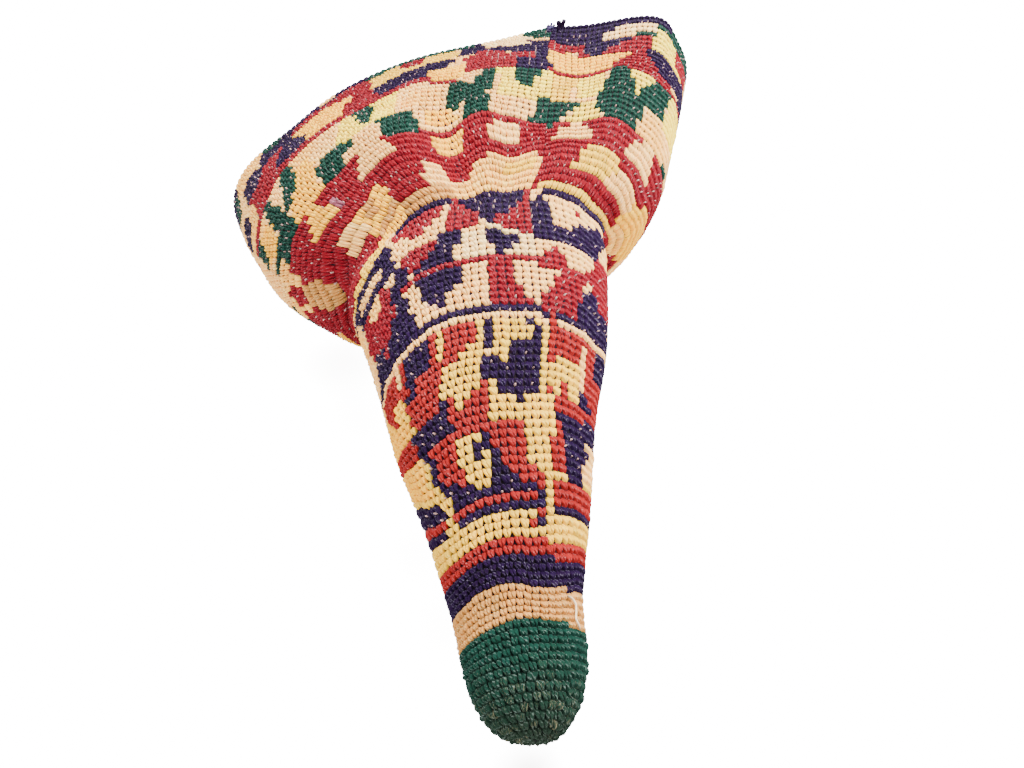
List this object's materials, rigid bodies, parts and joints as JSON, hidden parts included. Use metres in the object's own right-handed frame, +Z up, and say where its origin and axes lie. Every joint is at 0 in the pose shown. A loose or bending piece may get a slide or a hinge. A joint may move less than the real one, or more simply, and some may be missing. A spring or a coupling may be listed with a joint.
{
  "type": "prestige hat",
  "caption": "Crocheted ceremonial hat with a round tip, a tapering patterned trunk and a wide soft head opening, lying on its side.",
  "frame": {"origin": "under the middle of the hat, on the surface it lies on", "axes": "+Z up from the surface, +Y from the closed tip towards the open rim, +X to the right seen from the tip"},
  "size_m": [0.2502, 0.3504, 0.1095],
  "materials": {
    "yarn": "matte cotton crochet in several colours"
  },
  "bodies": {
    "root": {"crocheted_hat": "yarn"}
  },
  "joints": []
}
